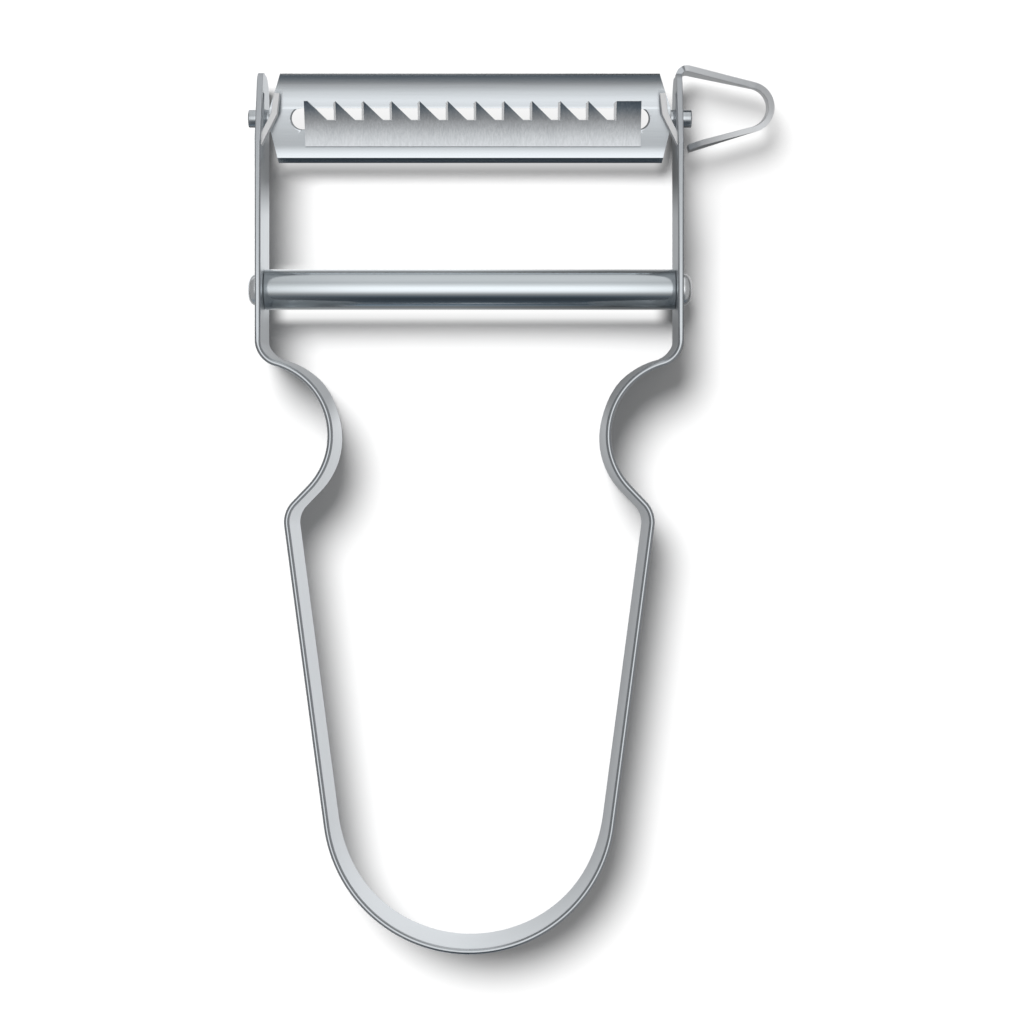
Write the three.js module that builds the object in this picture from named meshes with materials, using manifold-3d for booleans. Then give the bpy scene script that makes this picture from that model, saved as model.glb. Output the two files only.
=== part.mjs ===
// Julienne peeler: a bow bent from one steel strip carries a slotted blade that swivels between its ears.
// Millimetres. The peeler lies on the edge of its strip: +Z is up and +Y runs from the handle to the blade.
// The origin is on the strip's lower edge, in the middle of the handle's bottom bend.
import * as THREE from 'three';
import { mergeVertices } from 'three/addons/utils/BufferGeometryUtils.js';
import Module from 'manifold-3d';

const wasm = await Module();
wasm.setup();

const degrees = Math.PI / 180;

// Strip of the bow, measured along its middle surface
const stripWidth = 10;
const stripThickness = 0.72;
const armHalfSpan = 25.94;
const bottomBendRadius = 17.65;
const shoulderInset = 3.38;
const shoulderBendRadius = 3.3;
const shoulderSlope = 44 * degrees;
const fingerArcRadius = 9.25;
const fingerArcHeight = 63.2;
const armBendRadius = 2.95;

// Crossbar between the arms
const crossbarRise = 6.65;
const tubeDiameter = 5;
const tubeChamfer = 0.3;
const rivetDiameter = 3;
const rivetHeadDiameter = 4;
const rivetHeadHeight = 1.3;
const rivetClearance = 0.1;

// Blade pivot in the ears
const pivotRise = 21.4;
const pivotSetback = 5.5;
const pinDiameter = 2.2;
const pinClearance = 0.08;
const pinProud = 1.35;
const pinChamfer = 0.15;
const pinForkLength = 0.9;

// Ears at the top of the arms, measured from the pivot
const earTipReach = 5.5;
const earTaperStart = 4.05;
const earTaper = 17.3 * degrees;
const earFrontRadius = 2.2;
const earBackRadius = 3.2;

// Stop tongue pushed inwards out of each ear
const tongueRootDrop = 4.2;
const tongueWall = 0.75;
const tongueRim = 0.7;
const tongueSlit = 0.15;
const tongueSet = 1.82;
const tongueSlope = 24 * degrees;
const tongueLean = 5 * degrees;
const tongueBendRadius = 0.8;
const tongueTopReach = 2.75;

// Eye-remover loop at the end of the right ear
const loopWidth = 3.2;
const loopRelief = 0.3;
const loopRootReach = 4.97;
const loopRootRadius = 1.06;
const loopLegSlope = 14.5 * degrees;
const loopLegLength = 8.4;
const loopBendRadius = 2.81;

// Blade sheet, measured from the pivot in the blade's own plane
const bladeTilt = 15 * degrees;
const bladeThickness = 0.6;
const bladeTopReach = 5.4;
const bladeBottomReach = 5.42;
const bladeEndGap = 0.58;
const bladeCreaseReach = 1.34;
const bladeCreaseAngle = -2 * degrees;
const bladeFlangeAngle = 14 * degrees;
const bladeLipAngle = 9 * degrees;
const bladeGrindReach = 0.6;
const bladeGrindAngle = 30 * degrees;
const bladeNeckMargin = 0.2;
const bladeTopInset = 1.4;
const bladeBottomInset = 0.95;
const slotHeight = 2.68;
const slotEndMargin = 2.7;

// Julienne comb, measured from the pivot in the blade's own plane
const combThickness = 0.5;
const combBottomReach = 3.48;
const combRootReach = -0.08;
const combCurlRadius = 28.6;
const combLead = 0.42;
const combTail = 3.1;
const combEndMargin = 1;
const combShift = 0.35;
const toothPitch = 3.49;
const toothHeight = 2.38;
const combLipGap = 0.1;

// Narrow gap left between faces that are clamped or welded together
const seatGap = 0.05;

// Facets
const arcStep = 7.5 * degrees;
const roundSides = 32;

// Places worked out from the sizes above
const armOuter = armHalfSpan + stripThickness / 2;
const armInner = armHalfSpan - stripThickness / 2;
const fingerArcCentre = new THREE.Vector2(armOuter, fingerArcHeight);
const armBendX = armHalfSpan - armBendRadius;
const armBendRise = Math.sqrt((fingerArcRadius + armBendRadius) ** 2 - (armOuter - armBendX) ** 2);
const armBendCentre = new THREE.Vector2(armBendX, fingerArcHeight + armBendRise);
const crossbarHeight = armBendCentre.y + crossbarRise;
const pivotHeight = crossbarHeight + pivotRise;
const pivotDepth = stripWidth - pivotSetback;
const pinHoleRadius = pinDiameter / 2 + pinClearance;
const earTip = pivotHeight + earTipReach;
const bladeHalfLength = armInner - bladeEndGap;
const slotHalfLength = bladeHalfLength - slotEndMargin;
const bladeHeight = bladeTopReach + bladeBottomReach;
const lipStart = combBottomReach + combLipGap;
const lipRadius = (bladeBottomReach - lipStart) / Math.sin(bladeLipAngle);

function shapeOf(points) {
  return new THREE.Shape(points);
}

function point(x, y) {
  return new THREE.Vector2(x, y);
}

// Points along an arc about a centre, with both of its ends
function arc(centre, radius, from, to) {
  const steps = Math.max(1, Math.ceil(Math.abs(to - from) / arcStep));
  return Array.from({ length: steps + 1 }, (unused, i) => {
    const angle = from + (to - from) * i / steps;
    return point(centre.x + radius * Math.cos(angle), centre.y + radius * Math.sin(angle));
  });
}

// Arc that rounds the corner between two headings, tangent to both
function corner(vertex, headingIn, headingOut, radius) {
  const turn = headingOut - headingIn;
  const side = Math.sign(turn);
  const tangent = radius * Math.tan(Math.abs(turn) / 2);
  const start = point(vertex.x - tangent * Math.cos(headingIn), vertex.y - tangent * Math.sin(headingIn));
  const quarter = side * Math.PI / 2;
  const centre = point(
    start.x + radius * Math.cos(headingIn + quarter),
    start.y + radius * Math.sin(headingIn + quarter),
  );
  return arc(centre, radius, headingIn - quarter, headingOut - quarter);
}

// Outline of a sheet of even thickness whose middle follows the points
function ribbon(points, thickness) {
  const offset = (distance) => points.map((here, i) => {
    const before = points[Math.max(i - 1, 0)];
    const after = points[Math.min(i + 1, points.length - 1)];
    const along = after.clone().sub(before).normalize();
    return point(here.x - along.y * distance, here.y + along.x * distance);
  });
  return shapeOf([...offset(thickness / 2), ...offset(-thickness / 2).reverse()]);
}

// Solid of a closed geometry, with only its corners kept
function solidOf(geometry) {
  geometry.deleteAttribute('normal');
  geometry.deleteAttribute('uv');
  const merged = mergeVertices(geometry, 1e-4);
  return new wasm.Manifold(new wasm.Mesh({
    numProp: 3,
    vertProperties: new Float32Array(merged.attributes.position.array),
    triVerts: new Uint32Array(merged.index.array),
  }));
}

// Shape drawn in X and Y, with its thickness along Z
function plate(shape, low, high) {
  const geometry = new THREE.ExtrudeGeometry(shape, { depth: high - low, bevelEnabled: false });
  return solidOf(geometry.translate(0, 0, low));
}

// Shape drawn in Y and Z, with its thickness along X
function profile(shape, low, high) {
  const geometry = new THREE.ExtrudeGeometry(shape, { depth: high - low, bevelEnabled: false });
  geometry.translate(0, 0, low);
  const basis = new THREE.Matrix4().makeBasis(
    new THREE.Vector3(0, 1, 0),
    new THREE.Vector3(0, 0, 1),
    new THREE.Vector3(1, 0, 0),
  );
  return solidOf(geometry.applyMatrix4(basis));
}

// Solid turned about X from points of radius and place along X
function turned(points) {
  const geometry = new THREE.LatheGeometry(points, roundSides);
  return solidOf(geometry.rotateZ(-Math.PI / 2));
}

// Round bar along X through a point given in Y and Z
function bar(radius, low, high, y, z) {
  const geometry = new THREE.CylinderGeometry(radius, radius, high - low, roundSides);
  geometry.rotateZ(-Math.PI / 2);
  return solidOf(geometry.translate((low + high) / 2, y, z));
}

function block(width, height, depth, x, y, z) {
  return solidOf(new THREE.BoxGeometry(width, height, depth).translate(x, y, z));
}

// Named mesh with flat facets
function meshOf(name, solid, material) {
  const mesh = solid.getMesh();
  const geometry = new THREE.BufferGeometry();
  geometry.setAttribute('position', new THREE.BufferAttribute(new Float32Array(mesh.vertProperties), 3));
  geometry.setIndex(new THREE.BufferAttribute(new Uint32Array(mesh.triVerts), 1));
  geometry.computeVertexNormals();
  const result = new THREE.Mesh(geometry, material);
  result.name = name;
  return result;
}

// Middle line of the strip on the right, from the bottom bend up to the tip of the ear
function bowHalfPath() {
  const bendCentre = point(0, bottomBendRadius);
  const fingerStart = Math.PI + shoulderSlope;
  const fingerFoot = point(
    fingerArcCentre.x + fingerArcRadius * Math.cos(fingerStart),
    fingerArcCentre.y + fingerArcRadius * Math.sin(fingerStart),
  );
  const shoulderX = armHalfSpan - shoulderInset;
  const shoulder = point(shoulderX, fingerFoot.y - (shoulderX - fingerFoot.x) / Math.tan(shoulderSlope));
  const reach = shoulder.clone().sub(bendCentre);
  const sideAngle = reach.angle() - Math.acos(bottomBendRadius / reach.length());
  const headingSide = sideAngle + Math.PI / 2;
  const headingSlope = Math.PI / 2 + shoulderSlope;
  const slopeLength = shoulder.distanceTo(fingerFoot);
  const shoulderLimit = slopeLength / Math.tan((headingSlope - headingSide) / 2);
  const shoulderRadius = Math.min(shoulderBendRadius, shoulderLimit);
  const towardsArm = armBendCentre.clone().sub(fingerArcCentre).angle();
  return [
    ...arc(bendCentre, bottomBendRadius, -Math.PI / 2, sideAngle),
    ...corner(shoulder, headingSide, headingSlope, shoulderRadius),
    ...arc(fingerArcCentre, fingerArcRadius, fingerStart, towardsArm),
    ...arc(armBendCentre, armBendRadius, towardsArm - Math.PI, 0).slice(1),
    point(armHalfSpan, earTip),
  ];
}

// Height of the ear's front edge above the table at a place along the arm
function earFront(y) {
  return stripWidth - (y - (pivotHeight - earTaperStart)) * Math.tan(earTaper);
}

// Side view of the strip with its two rounded ear corners
function earEnvelope() {
  const margin = stripWidth;
  const frontCorner = point(earTip, earFront(earTip));
  const frontTangent = earFrontRadius * Math.tan((Math.PI / 2 - earTaper) / 2);
  const backRadius = Math.min(earBackRadius, frontCorner.y - frontTangent);
  const backCentre = point(earTip - backRadius, backRadius);
  return shapeOf([
    point(-margin, -margin),
    point(backCentre.x, -margin),
    ...arc(backCentre, backRadius, -Math.PI / 2, 0),
    ...corner(frontCorner, Math.PI / 2, Math.PI - earTaper, earFrontRadius),
    point(pivotHeight - earTaperStart, stripWidth),
    point(pivotHeight - earTaperStart, stripWidth + margin),
    point(-margin, stripWidth + margin),
  ]);
}

// Side view of a band along the ear's front edge, between its rim and the wall at the pin hole
function tongueBand(low, high, slit) {
  const setback = earFront(pivotHeight) - (pivotDepth + pinHoleRadius + tongueWall);
  const front = (y) => earFront(y) - tongueRim - slit;
  const back = (y) => earFront(y) - setback + slit;
  return shapeOf([
    point(low, back(low)),
    point(high, back(high)),
    point(high, front(high)),
    point(low, front(low)),
  ]);
}

// Middle line of a stop tongue: off the ear, inwards, then up again in front of the blade's end
function tonguePath(side) {
  const root = pivotHeight - tongueRootDrop;
  const bendSet = tongueBendRadius * (1 - 2 * Math.cos(tongueSlope) + Math.cos(tongueLean));
  const bendRise = tongueBendRadius * Math.sin(tongueSlope);
  const slopeRise = Math.max(0, tongueSet - bendSet) / Math.tan(tongueSlope);
  const outwards = point(armHalfSpan - tongueBendRadius, root);
  const upwards = point(
    armHalfSpan - tongueSet + tongueBendRadius * Math.cos(tongueLean),
    root + 2 * bendRise + slopeRise,
  );
  const bend = arc(upwards, tongueBendRadius, Math.PI + tongueSlope, Math.PI + tongueLean);
  const bendEnd = bend[bend.length - 1];
  const leg = Math.max(pivotHeight + tongueTopReach - bendEnd.y, tongueBendRadius);
  const line = [
    point(armHalfSpan, root - stripThickness),
    ...arc(outwards, tongueBendRadius, 0, tongueSlope),
    ...bend,
    point(bendEnd.x - leg * Math.tan(tongueLean), bendEnd.y + leg),
  ];
  return line.map((p) => point(side * p.x, p.y));
}

// Middle line of the eye-remover loop: over the ear's top, out, round and back
function loopPath() {
  const rootTop = pivotHeight + loopRootReach;
  const rootCentre = point(armHalfSpan + loopRootRadius, rootTop);
  const leaving = Math.PI / 2 - loopLegSlope;
  const leg = point(loopLegLength * Math.cos(loopLegSlope), loopLegLength * Math.sin(loopLegSlope));
  const legStart = point(
    rootCentre.x + loopRootRadius * Math.cos(leaving),
    rootCentre.y + loopRootRadius * Math.sin(leaving),
  );
  const bendCentre = point(
    legStart.x + leg.x - loopBendRadius * Math.cos(leaving),
    legStart.y - leg.y - loopBendRadius * Math.sin(leaving),
  );
  const bend = arc(bendCentre, loopBendRadius, leaving, -leaving);
  const legEnd = bend[bend.length - 1];
  return [
    point(armHalfSpan, rootTop - loopRootRadius),
    ...arc(rootCentre, loopRootRadius, Math.PI, leaving),
    ...bend,
    point(legEnd.x - leg.x, legEnd.y - leg.y),
  ];
}

// Bent strip with its ears, stop tongues and eye-remover loop
function frameBow() {
  const right = bowHalfPath();
  const left = right.slice(1).reverse().map((p) => point(-p.x, p.y));
  const beyond = 2 * armOuter;
  const root = pivotHeight - tongueRootDrop;
  const rootTop = pivotHeight + loopRootReach;
  const strip = plate(ribbon([...left, ...right], stripThickness), 0, stripWidth);
  const rivetHole = bar(rivetDiameter / 2 + rivetClearance, -beyond, beyond, crossbarHeight, stripWidth / 2);
  const pinHole = bar(pinHoleRadius, -beyond, beyond, pivotHeight, pivotDepth);
  const tongueTop = pivotHeight + tongueTopReach + tongueSlit;
  const windows = profile(tongueBand(root, tongueTop, 0), -beyond, beyond);
  const loopNotch = block(
    armHalfSpan, earTipReach, loopWidth + 2 * loopRelief,
    armHalfSpan, rootTop + earTipReach / 2, pivotDepth,
  );
  const bow = strip
    .intersect(profile(earEnvelope(), -beyond, beyond))
    .subtract(rivetHole)
    .subtract(pinHole)
    .subtract(windows)
    .subtract(loopNotch);
  const tongueSide = profile(tongueBand(root - stripThickness, tongueTop - tongueSlit, tongueSlit), -beyond, beyond);
  const tongues = [-1, 1].map((side) => (
    plate(ribbon(tonguePath(side), stripThickness), 0, stripWidth).intersect(tongueSide)
  ));
  const loop = plate(ribbon(loopPath(), stripThickness), pivotDepth - loopWidth / 2, pivotDepth + loopWidth / 2);
  return tongues.reduce((whole, tongue) => whole.add(tongue), bow.add(loop));
}

// Spacer tube between the arms, with chamfered ends
function crossbarTube() {
  const half = armInner - seatGap;
  const outer = tubeDiameter / 2;
  const bore = rivetDiameter / 2 + rivetClearance;
  return turned([
    point(bore, -half),
    point(outer - tubeChamfer, -half),
    point(outer, -half + tubeChamfer),
    point(outer, half - tubeChamfer),
    point(outer - tubeChamfer, half),
    point(bore, half),
    point(bore, -half),
  ]);
}

// Rivet through the tube and both arms, with a domed head at each end
function crossbarRivet() {
  const headRadius = rivetHeadDiameter / 2;
  const domeRadius = (headRadius ** 2 + rivetHeadHeight ** 2) / (2 * rivetHeadHeight);
  const domeAngle = Math.asin(Math.min(1, headRadius / domeRadius));
  const seat = armOuter + seatGap;
  const domeCentre = point(0, seat + rivetHeadHeight - domeRadius);
  const dome = arc(domeCentre, domeRadius, Math.PI / 2 - domeAngle, Math.PI / 2);
  dome[dome.length - 1].x = 0;
  const end = [point(rivetDiameter / 2, seat), ...dome];
  const otherEnd = end.map((p) => point(p.x, -p.y)).reverse();
  return turned([...otherEnd, ...end]);
}

// Side view of the blade's dished sheet: lip, flat middle, crease and upper flange
function bladeSection() {
  const flangeSines = Math.sin(bladeFlangeAngle) - Math.sin(bladeCreaseAngle);
  const flangeRadius = (bladeTopReach - bladeCreaseReach) / flangeSines;
  const down = -Math.PI / 2;
  const lipCentre = point(-lipStart, lipRadius);
  const flangeCentre = point(
    bladeCreaseReach - flangeRadius * Math.sin(bladeCreaseAngle),
    flangeRadius * Math.cos(bladeCreaseAngle),
  );
  return ribbon([
    ...arc(lipCentre, lipRadius, down - bladeLipAngle, down),
    ...arc(flangeCentre, flangeRadius, down + bladeCreaseAngle, down + bladeFlangeAngle),
  ], bladeThickness);
}

// Side view of what is ground off the front of the blade's lower edge
function grindSection() {
  const start = bladeBottomReach - bladeGrindReach;
  const lipRun = Math.max(0, start - lipStart);
  const lipRise = lipRadius - Math.sqrt(lipRadius ** 2 - lipRun ** 2);
  const face = point(-start, lipRise + bladeThickness / 2);
  const along = point(Math.cos(bladeGrindAngle), Math.sin(bladeGrindAngle)).multiplyScalar(2 * bladeGrindReach);
  const across = point(-along.y, along.x);
  const high = face.clone().add(along);
  const low = face.clone().sub(along);
  return shapeOf([low, high, high.clone().add(across), low.clone().add(across)]);
}

// Front view of the blade, with the pivot necks at its ends
function bladeOutline() {
  const neck = pinDiameter / 2 + bladeNeckMargin;
  const end = bladeHalfLength;
  const right = [
    point(end - bladeBottomInset, -bladeHeight),
    point(end - bladeBottomInset, -bladeBottomReach),
    point(end, -neck),
    point(end, neck),
    point(end - bladeTopInset, bladeTopReach),
    point(end - bladeTopInset, bladeHeight),
  ];
  const left = right.map((p) => point(-p.x, p.y)).reverse();
  return shapeOf([...right, ...left]);
}

// Slot through the blade, with round ends
function slotOutline() {
  const radius = slotHeight / 2;
  const centre = slotHalfLength - radius;
  return shapeOf([
    ...arc(point(centre, 0), radius, -Math.PI / 2, Math.PI / 2),
    ...arc(point(-centre, 0), radius, Math.PI / 2, 3 * Math.PI / 2),
  ]);
}

function blade() {
  const deep = bladeHeight;
  const wide = 2 * bladeHalfLength;
  return profile(bladeSection(), -wide, wide)
    .subtract(profile(grindSection(), -wide, wide))
    .intersect(plate(bladeOutline(), -deep, deep))
    .subtract(plate(slotOutline(), -deep, deep));
}

// Front view of the comb: pointed teeth, and a wide square tooth at the right end
function combOutline() {
  const room = 2 * (slotHalfLength - combEndMargin) - combLead - combTail;
  const gaps = Math.max(1, Math.floor(room / toothPitch));
  const length = combLead + gaps * toothPitch + combTail;
  const first = combLead - length / 2 + combShift;
  const tip = combRootReach + toothHeight;
  const teeth = Array.from({ length: gaps }, (unused, i) => {
    const edge = first + i * toothPitch;
    const foot = Math.min(toothHeight, toothPitch);
    return [point(edge, tip), point(edge + foot, combRootReach), point(edge + toothPitch, combRootReach)];
  });
  const last = first + gaps * toothPitch;
  return shapeOf([
    point(first - combLead, -combBottomReach),
    point(first - combLead, tip),
    ...teeth.flat(),
    point(last, tip),
    point(last + combTail, tip),
    point(last + combTail, -combBottomReach),
  ]);
}

// Side view of the comb's plate: flat on the blade at its foot, then curling forward up to the tips of the teeth
function combSection() {
  const middle = bladeThickness / 2 + seatGap + combThickness / 2;
  const down = -Math.PI / 2;
  const curl = bladeHeight / combCurlRadius;
  return ribbon([
    point(-bladeHeight, middle),
    ...arc(point(-combBottomReach, middle + combCurlRadius), combCurlRadius, down, down + curl),
  ], combThickness);
}

function julienneComb() {
  const deep = bladeHeight;
  return profile(combSection(), -bladeHalfLength, bladeHalfLength).intersect(plate(combOutline(), -deep, deep));
}

// Pivot stub whose forked inner end straddles the blade's neck
function pivotPin(side) {
  const radius = pinDiameter / 2;
  const inner = bladeHalfLength - pinForkLength;
  const outer = armOuter + pinProud;
  const fork = bladeHalfLength + seatGap;
  const outline = [
    point(0, inner),
    point(radius, inner),
    point(radius, outer - pinChamfer),
    point(radius - pinChamfer, outer),
    point(0, outer),
  ];
  const stub = turned(side > 0 ? outline : outline.map((p) => point(p.x, -p.y)).reverse());
  const slot = block(
    2 * (fork - inner), 2 * pinDiameter, bladeThickness + 2 * seatGap,
    side * inner, 0, 0,
  );
  return stub.subtract(slot);
}

// Finishes
const stripSteel = new THREE.MeshStandardMaterial({ color: 0xb4b9be, roughness: 0.32, metalness: 1 });
const barSteel = new THREE.MeshStandardMaterial({ color: 0xc6cace, roughness: 0.16, metalness: 1 });
const bladeSteel = new THREE.MeshStandardMaterial({ color: 0xbcc1c6, roughness: 0.24, metalness: 1 });
const combSteel = new THREE.MeshStandardMaterial({ color: 0xc2c6ca, roughness: 0.42, metalness: 1 });
const pinSteel = new THREE.MeshStandardMaterial({ color: 0xb8bcc0, roughness: 0.28, metalness: 1 });

const crossbar = new THREE.Group();
crossbar.position.set(0, crossbarHeight, stripWidth / 2);
crossbar.add(meshOf('crossbar_tube', crossbarTube(), barSteel));
crossbar.add(meshOf('crossbar_rivet', crossbarRivet(), pinSteel));

const swivel = new THREE.Group();
swivel.position.set(0, pivotHeight, pivotDepth);
swivel.rotation.x = bladeTilt;
swivel.add(meshOf('blade', blade(), bladeSteel));
swivel.add(meshOf('julienne_comb', julienneComb(), combSteel));
swivel.add(meshOf('pivot_pin_left', pivotPin(-1), pinSteel));
swivel.add(meshOf('pivot_pin_right', pivotPin(1), pinSteel));

const peeler = new THREE.Group();
peeler.add(meshOf('frame_bow', frameBow(), stripSteel));
peeler.add(crossbar);
peeler.add(swivel);

export default peeler;
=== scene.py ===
"""Julienne peeler: a bow of bent steel strip, a riveted crossbar, and a slotted blade that swivels in its ears."""
import math

import bmesh
import bpy
from mathutils import Matrix, Vector


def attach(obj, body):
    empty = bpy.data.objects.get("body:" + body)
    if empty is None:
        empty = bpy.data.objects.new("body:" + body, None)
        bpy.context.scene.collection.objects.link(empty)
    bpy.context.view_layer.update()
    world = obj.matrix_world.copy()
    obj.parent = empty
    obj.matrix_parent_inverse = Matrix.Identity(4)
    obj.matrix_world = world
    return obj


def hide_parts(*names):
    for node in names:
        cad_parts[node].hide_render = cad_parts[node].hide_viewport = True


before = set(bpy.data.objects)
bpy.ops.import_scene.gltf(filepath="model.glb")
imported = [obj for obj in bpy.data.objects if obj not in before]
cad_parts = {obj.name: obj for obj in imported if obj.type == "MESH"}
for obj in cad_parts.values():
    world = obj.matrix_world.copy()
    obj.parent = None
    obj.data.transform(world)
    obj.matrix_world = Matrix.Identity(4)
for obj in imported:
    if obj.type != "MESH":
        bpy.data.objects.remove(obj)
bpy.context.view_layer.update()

MM = 0.001
DEG = math.pi / 180
WELD = 1e-7

# Strip of the bow, along its middle surface
STRIP_WIDTH = 10 * MM
STRIP_THICKNESS = 0.72 * MM
STRIP_EDGE = 0.34 * MM
SHEARED_EDGE = 0.04 * MM
ARM_X = 25.94 * MM
BOTTOM_RADIUS = 17.65 * MM
SHOULDER_X = 22.56 * MM
SHOULDER_RADIUS = 3.3 * MM
SHOULDER_SLOPE = 44 * DEG
FINGER_RADIUS = 9.25 * MM
FINGER_Y = 63.2 * MM
ARM_BEND_RADIUS = 2.95 * MM
ARM_FOOT_Y = 76.5 * MM
ARM_OUTER = ARM_X + STRIP_THICKNESS / 2
ARM_INNER = ARM_X - STRIP_THICKNESS / 2
# How far the strip's lower edge leans in, and the stretches along the bow where each lean comes and goes
HANDLE_LEAN = 0.4 * MM
HANDLE_LEAN_COMES = (2 * MM, 14 * MM)
HANDLE_LEAN_GOES = (68 * MM, 76 * MM)
WAIST_LEAN = 0.7 * MM
WAIST_LEAN_COMES = (65 * MM, 70 * MM)
WAIST_LEAN_GOES = (73 * MM, ARM_FOOT_Y)

# Crossbar, rivet and pivot pins
FIT_GAP = 0.05 * MM
HOLE_SEGMENTS = 48
CROSSBAR_Y = 81.5924 * MM
CROSSBAR_Z = STRIP_WIDTH / 2
TUBE_RADIUS = 2.5 * MM
TUBE_BORE = 1.6 * MM
TUBE_CORNER = 0.12 * MM
RIVET_RADIUS = 1.5 * MM
RIVET_HOLE_RADIUS = 1.6 * MM
RIVET_HEAD_RADIUS = 2 * MM
RIVET_HEAD_HEIGHT = 1.3 * MM
RIVET_HEAD_LIP = 0.06 * MM
RIVET_HEAD_FULLNESS = 0.7
PIVOT_Y = 102.9924 * MM
PIVOT_Z = 4.5 * MM
PIN_RADIUS = 1.1 * MM
PIN_HOLE_RADIUS = 1.18 * MM
PIN_CORNER = 0.16 * MM
PIN_STANDS_OUT = 1.35 * MM
PRONG_REACH = 0.9 * MM

# Ears
EAR_TIP = PIVOT_Y + 5.5 * MM
EAR_TAPER_Y = PIVOT_Y - 4.05 * MM
EAR_TAPER = 17.3 * DEG
EAR_FRONT_RADIUS = 2.2 * MM
EAR_BACK_RADIUS = 3.2 * MM

# Stop tongues
TONGUE_ROOT = PIVOT_Y - 4.2 * MM
TONGUE_TOP = PIVOT_Y + 2.75 * MM
TONGUE_SLIT = 0.15 * MM
TONGUE_RIM = 0.7 * MM
TONGUE_WALL = 0.75 * MM
TONGUE_SET = 1.82 * MM
TONGUE_SLOPE = 24 * DEG
TONGUE_LEAN = 5 * DEG
TONGUE_RADIUS = 0.8 * MM

# Eye-remover loop
LOOP_WIDTH = 3.2 * MM
LOOP_RELIEF = 0.3 * MM
LOOP_ROOT = PIVOT_Y + 4.97 * MM
LOOP_ROOT_RADIUS = 1.06 * MM
LOOP_LEG_SLOPE = 14.5 * DEG
LOOP_LEG = 8.39 * MM
LOOP_TIP = 1.6 * MM
LOOP_TIP_DROP = LOOP_TIP * 0.7
LOOP_LEAN = 8 * DEG
LOOP_LEAN_COMES = (ARM_X + 1 * MM, ARM_X + 8 * MM)
LOOP_GRIND = 0.22 * MM
LOOP_RADIUS = 2.81 * MM
LOOP_BACK = PIVOT_Z - LOOP_WIDTH / 2
LOOP_FRONT = PIVOT_Z + LOOP_WIDTH / 2
LOOP_START_X = ARM_OUTER + 0.4 * MM
LOOP_MIDDLE = Vector((ARM_X + 5.6 * MM, LOOP_ROOT - 3.6 * MM, 0))

# Blade and comb, in the blade's own plane
BLADE_TILT = 15 * DEG
BLADE_THICKNESS = 0.6 * MM
BLADE_TOP = 5.4 * MM
BLADE_BOTTOM = 5.42 * MM
BLADE_HALF_LENGTH = 25 * MM
BLADE_NECK = PIN_RADIUS + 0.2 * MM
BLADE_LOW_CORNER = 0.95 * MM
BLADE_HIGH_CORNER = 1.4 * MM
BLADE_EDGE = 0.02 * MM
# Slope of the blade's sheet, in degrees, by the distance above the pivot line in mm
BLADE_SECTION = [
    (-5.42, -9), (-4.8, -8), (-3.3, 3), (1.2, 0), (1.24, -5), (1.46, -5), (1.5, -0.5), (2.3, -1.8), (3.3, 1.2),
    (4.1, 4.8), (4.7, 9.8), (5.4, 14.5),
]
ROWS_PER_BEND = 6
SHORT_BEND = 0.3
GRIND_REACH = 0.6 * MM
GRIND_ANGLE = 25 * DEG
SLOT_HALF_HEIGHT = 1.34 * MM
SLOT_HALF_LENGTH = 22.3 * MM
SLOT_ROLL = 0.18 * MM
SLOT_ROLL_TOP = 1.18 * MM
COMB_THICKNESS = 0.5 * MM
COMB_BACK_Z = 0.35 * MM
COMB_BOTTOM = -3.48 * MM
COMB_ROOT = -0.08 * MM
COMB_TIP = 2.3 * MM
COMB_CURL = 0.82 * DEG / MM
COMB_CURL_GAIN = 0.37 * DEG / MM ** 2
COMB_LEAN = 0.3 * DEG
COMB_LEFT = -20.605 * MM
COMB_FIRST = COMB_LEFT + 0.42 * MM
TOOTH_PITCH = 3.49 * MM
TOOTH_COUNT = 11
TOOTH_GRIND = 0.3 * MM
COMB_UNDERCUT = 0.12 * MM
COMB_TAIL = 3.1 * MM
COMB_EDGE = 0.015 * MM
COMB_ROWS = 12

X_AXIS = Vector((1, 0, 0))
Z_AXIS = Vector((0, 0, 1))


def last_vertex(result):
    """Far end of a spun wire."""
    return next(item for item in result["geom_last"] if isinstance(item, bmesh.types.BMVert))


def draw_line(bm, vertex, place):
    """Draws a straight wire from a vertex to a place and returns its far end."""
    end = bmesh.ops.extrude_vert_indiv(bm, verts=[vertex])["verts"][0]
    end.co = Vector(place)
    return end


def draw_arc(bm, vertex, centre, axis, angle, step=4 * DEG):
    """Draws an arc of wire about a centre and returns its far end."""
    steps = max(2, math.ceil(abs(angle) / step))
    result = bmesh.ops.spin(bm, geom=[vertex], cent=centre, axis=axis, angle=angle, steps=steps)
    return last_vertex(result)


def sweep_edge(bm, edge, move):
    """Pulls an edge along a straight move and returns its far copy."""
    result = bmesh.ops.extrude_edge_only(bm, edges=[edge])["geom"]
    verts = [item for item in result if isinstance(item, bmesh.types.BMVert)]
    bmesh.ops.translate(bm, verts=verts, vec=move)
    return next(e for e in verts[0].link_edges if e.other_vert(verts[0]) in verts)


def bend_edge(bm, edge, centre, axis, angle, step=6 * DEG):
    """Bends a sheet on from its edge about a centre and returns the far edge."""
    steps = max(2, math.ceil(abs(angle) / step))
    geom = [edge, *edge.verts]
    result = bmesh.ops.spin(bm, geom=geom, cent=centre, axis=axis, angle=angle, steps=steps)
    return next(item for item in result["geom_last"] if isinstance(item, bmesh.types.BMEdge))


def make_object(name, bm, materials):
    """Turns a bmesh into an object with its finishes."""
    bmesh.ops.remove_doubles(bm, verts=bm.verts[:], dist=WELD)
    mesh = bpy.data.meshes.new(name)
    bm.to_mesh(mesh)
    bm.free()
    for material in materials:
        mesh.materials.append(material)
    piece = bpy.data.objects.new(name, mesh)
    bpy.context.collection.objects.link(piece)
    return piece


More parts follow.
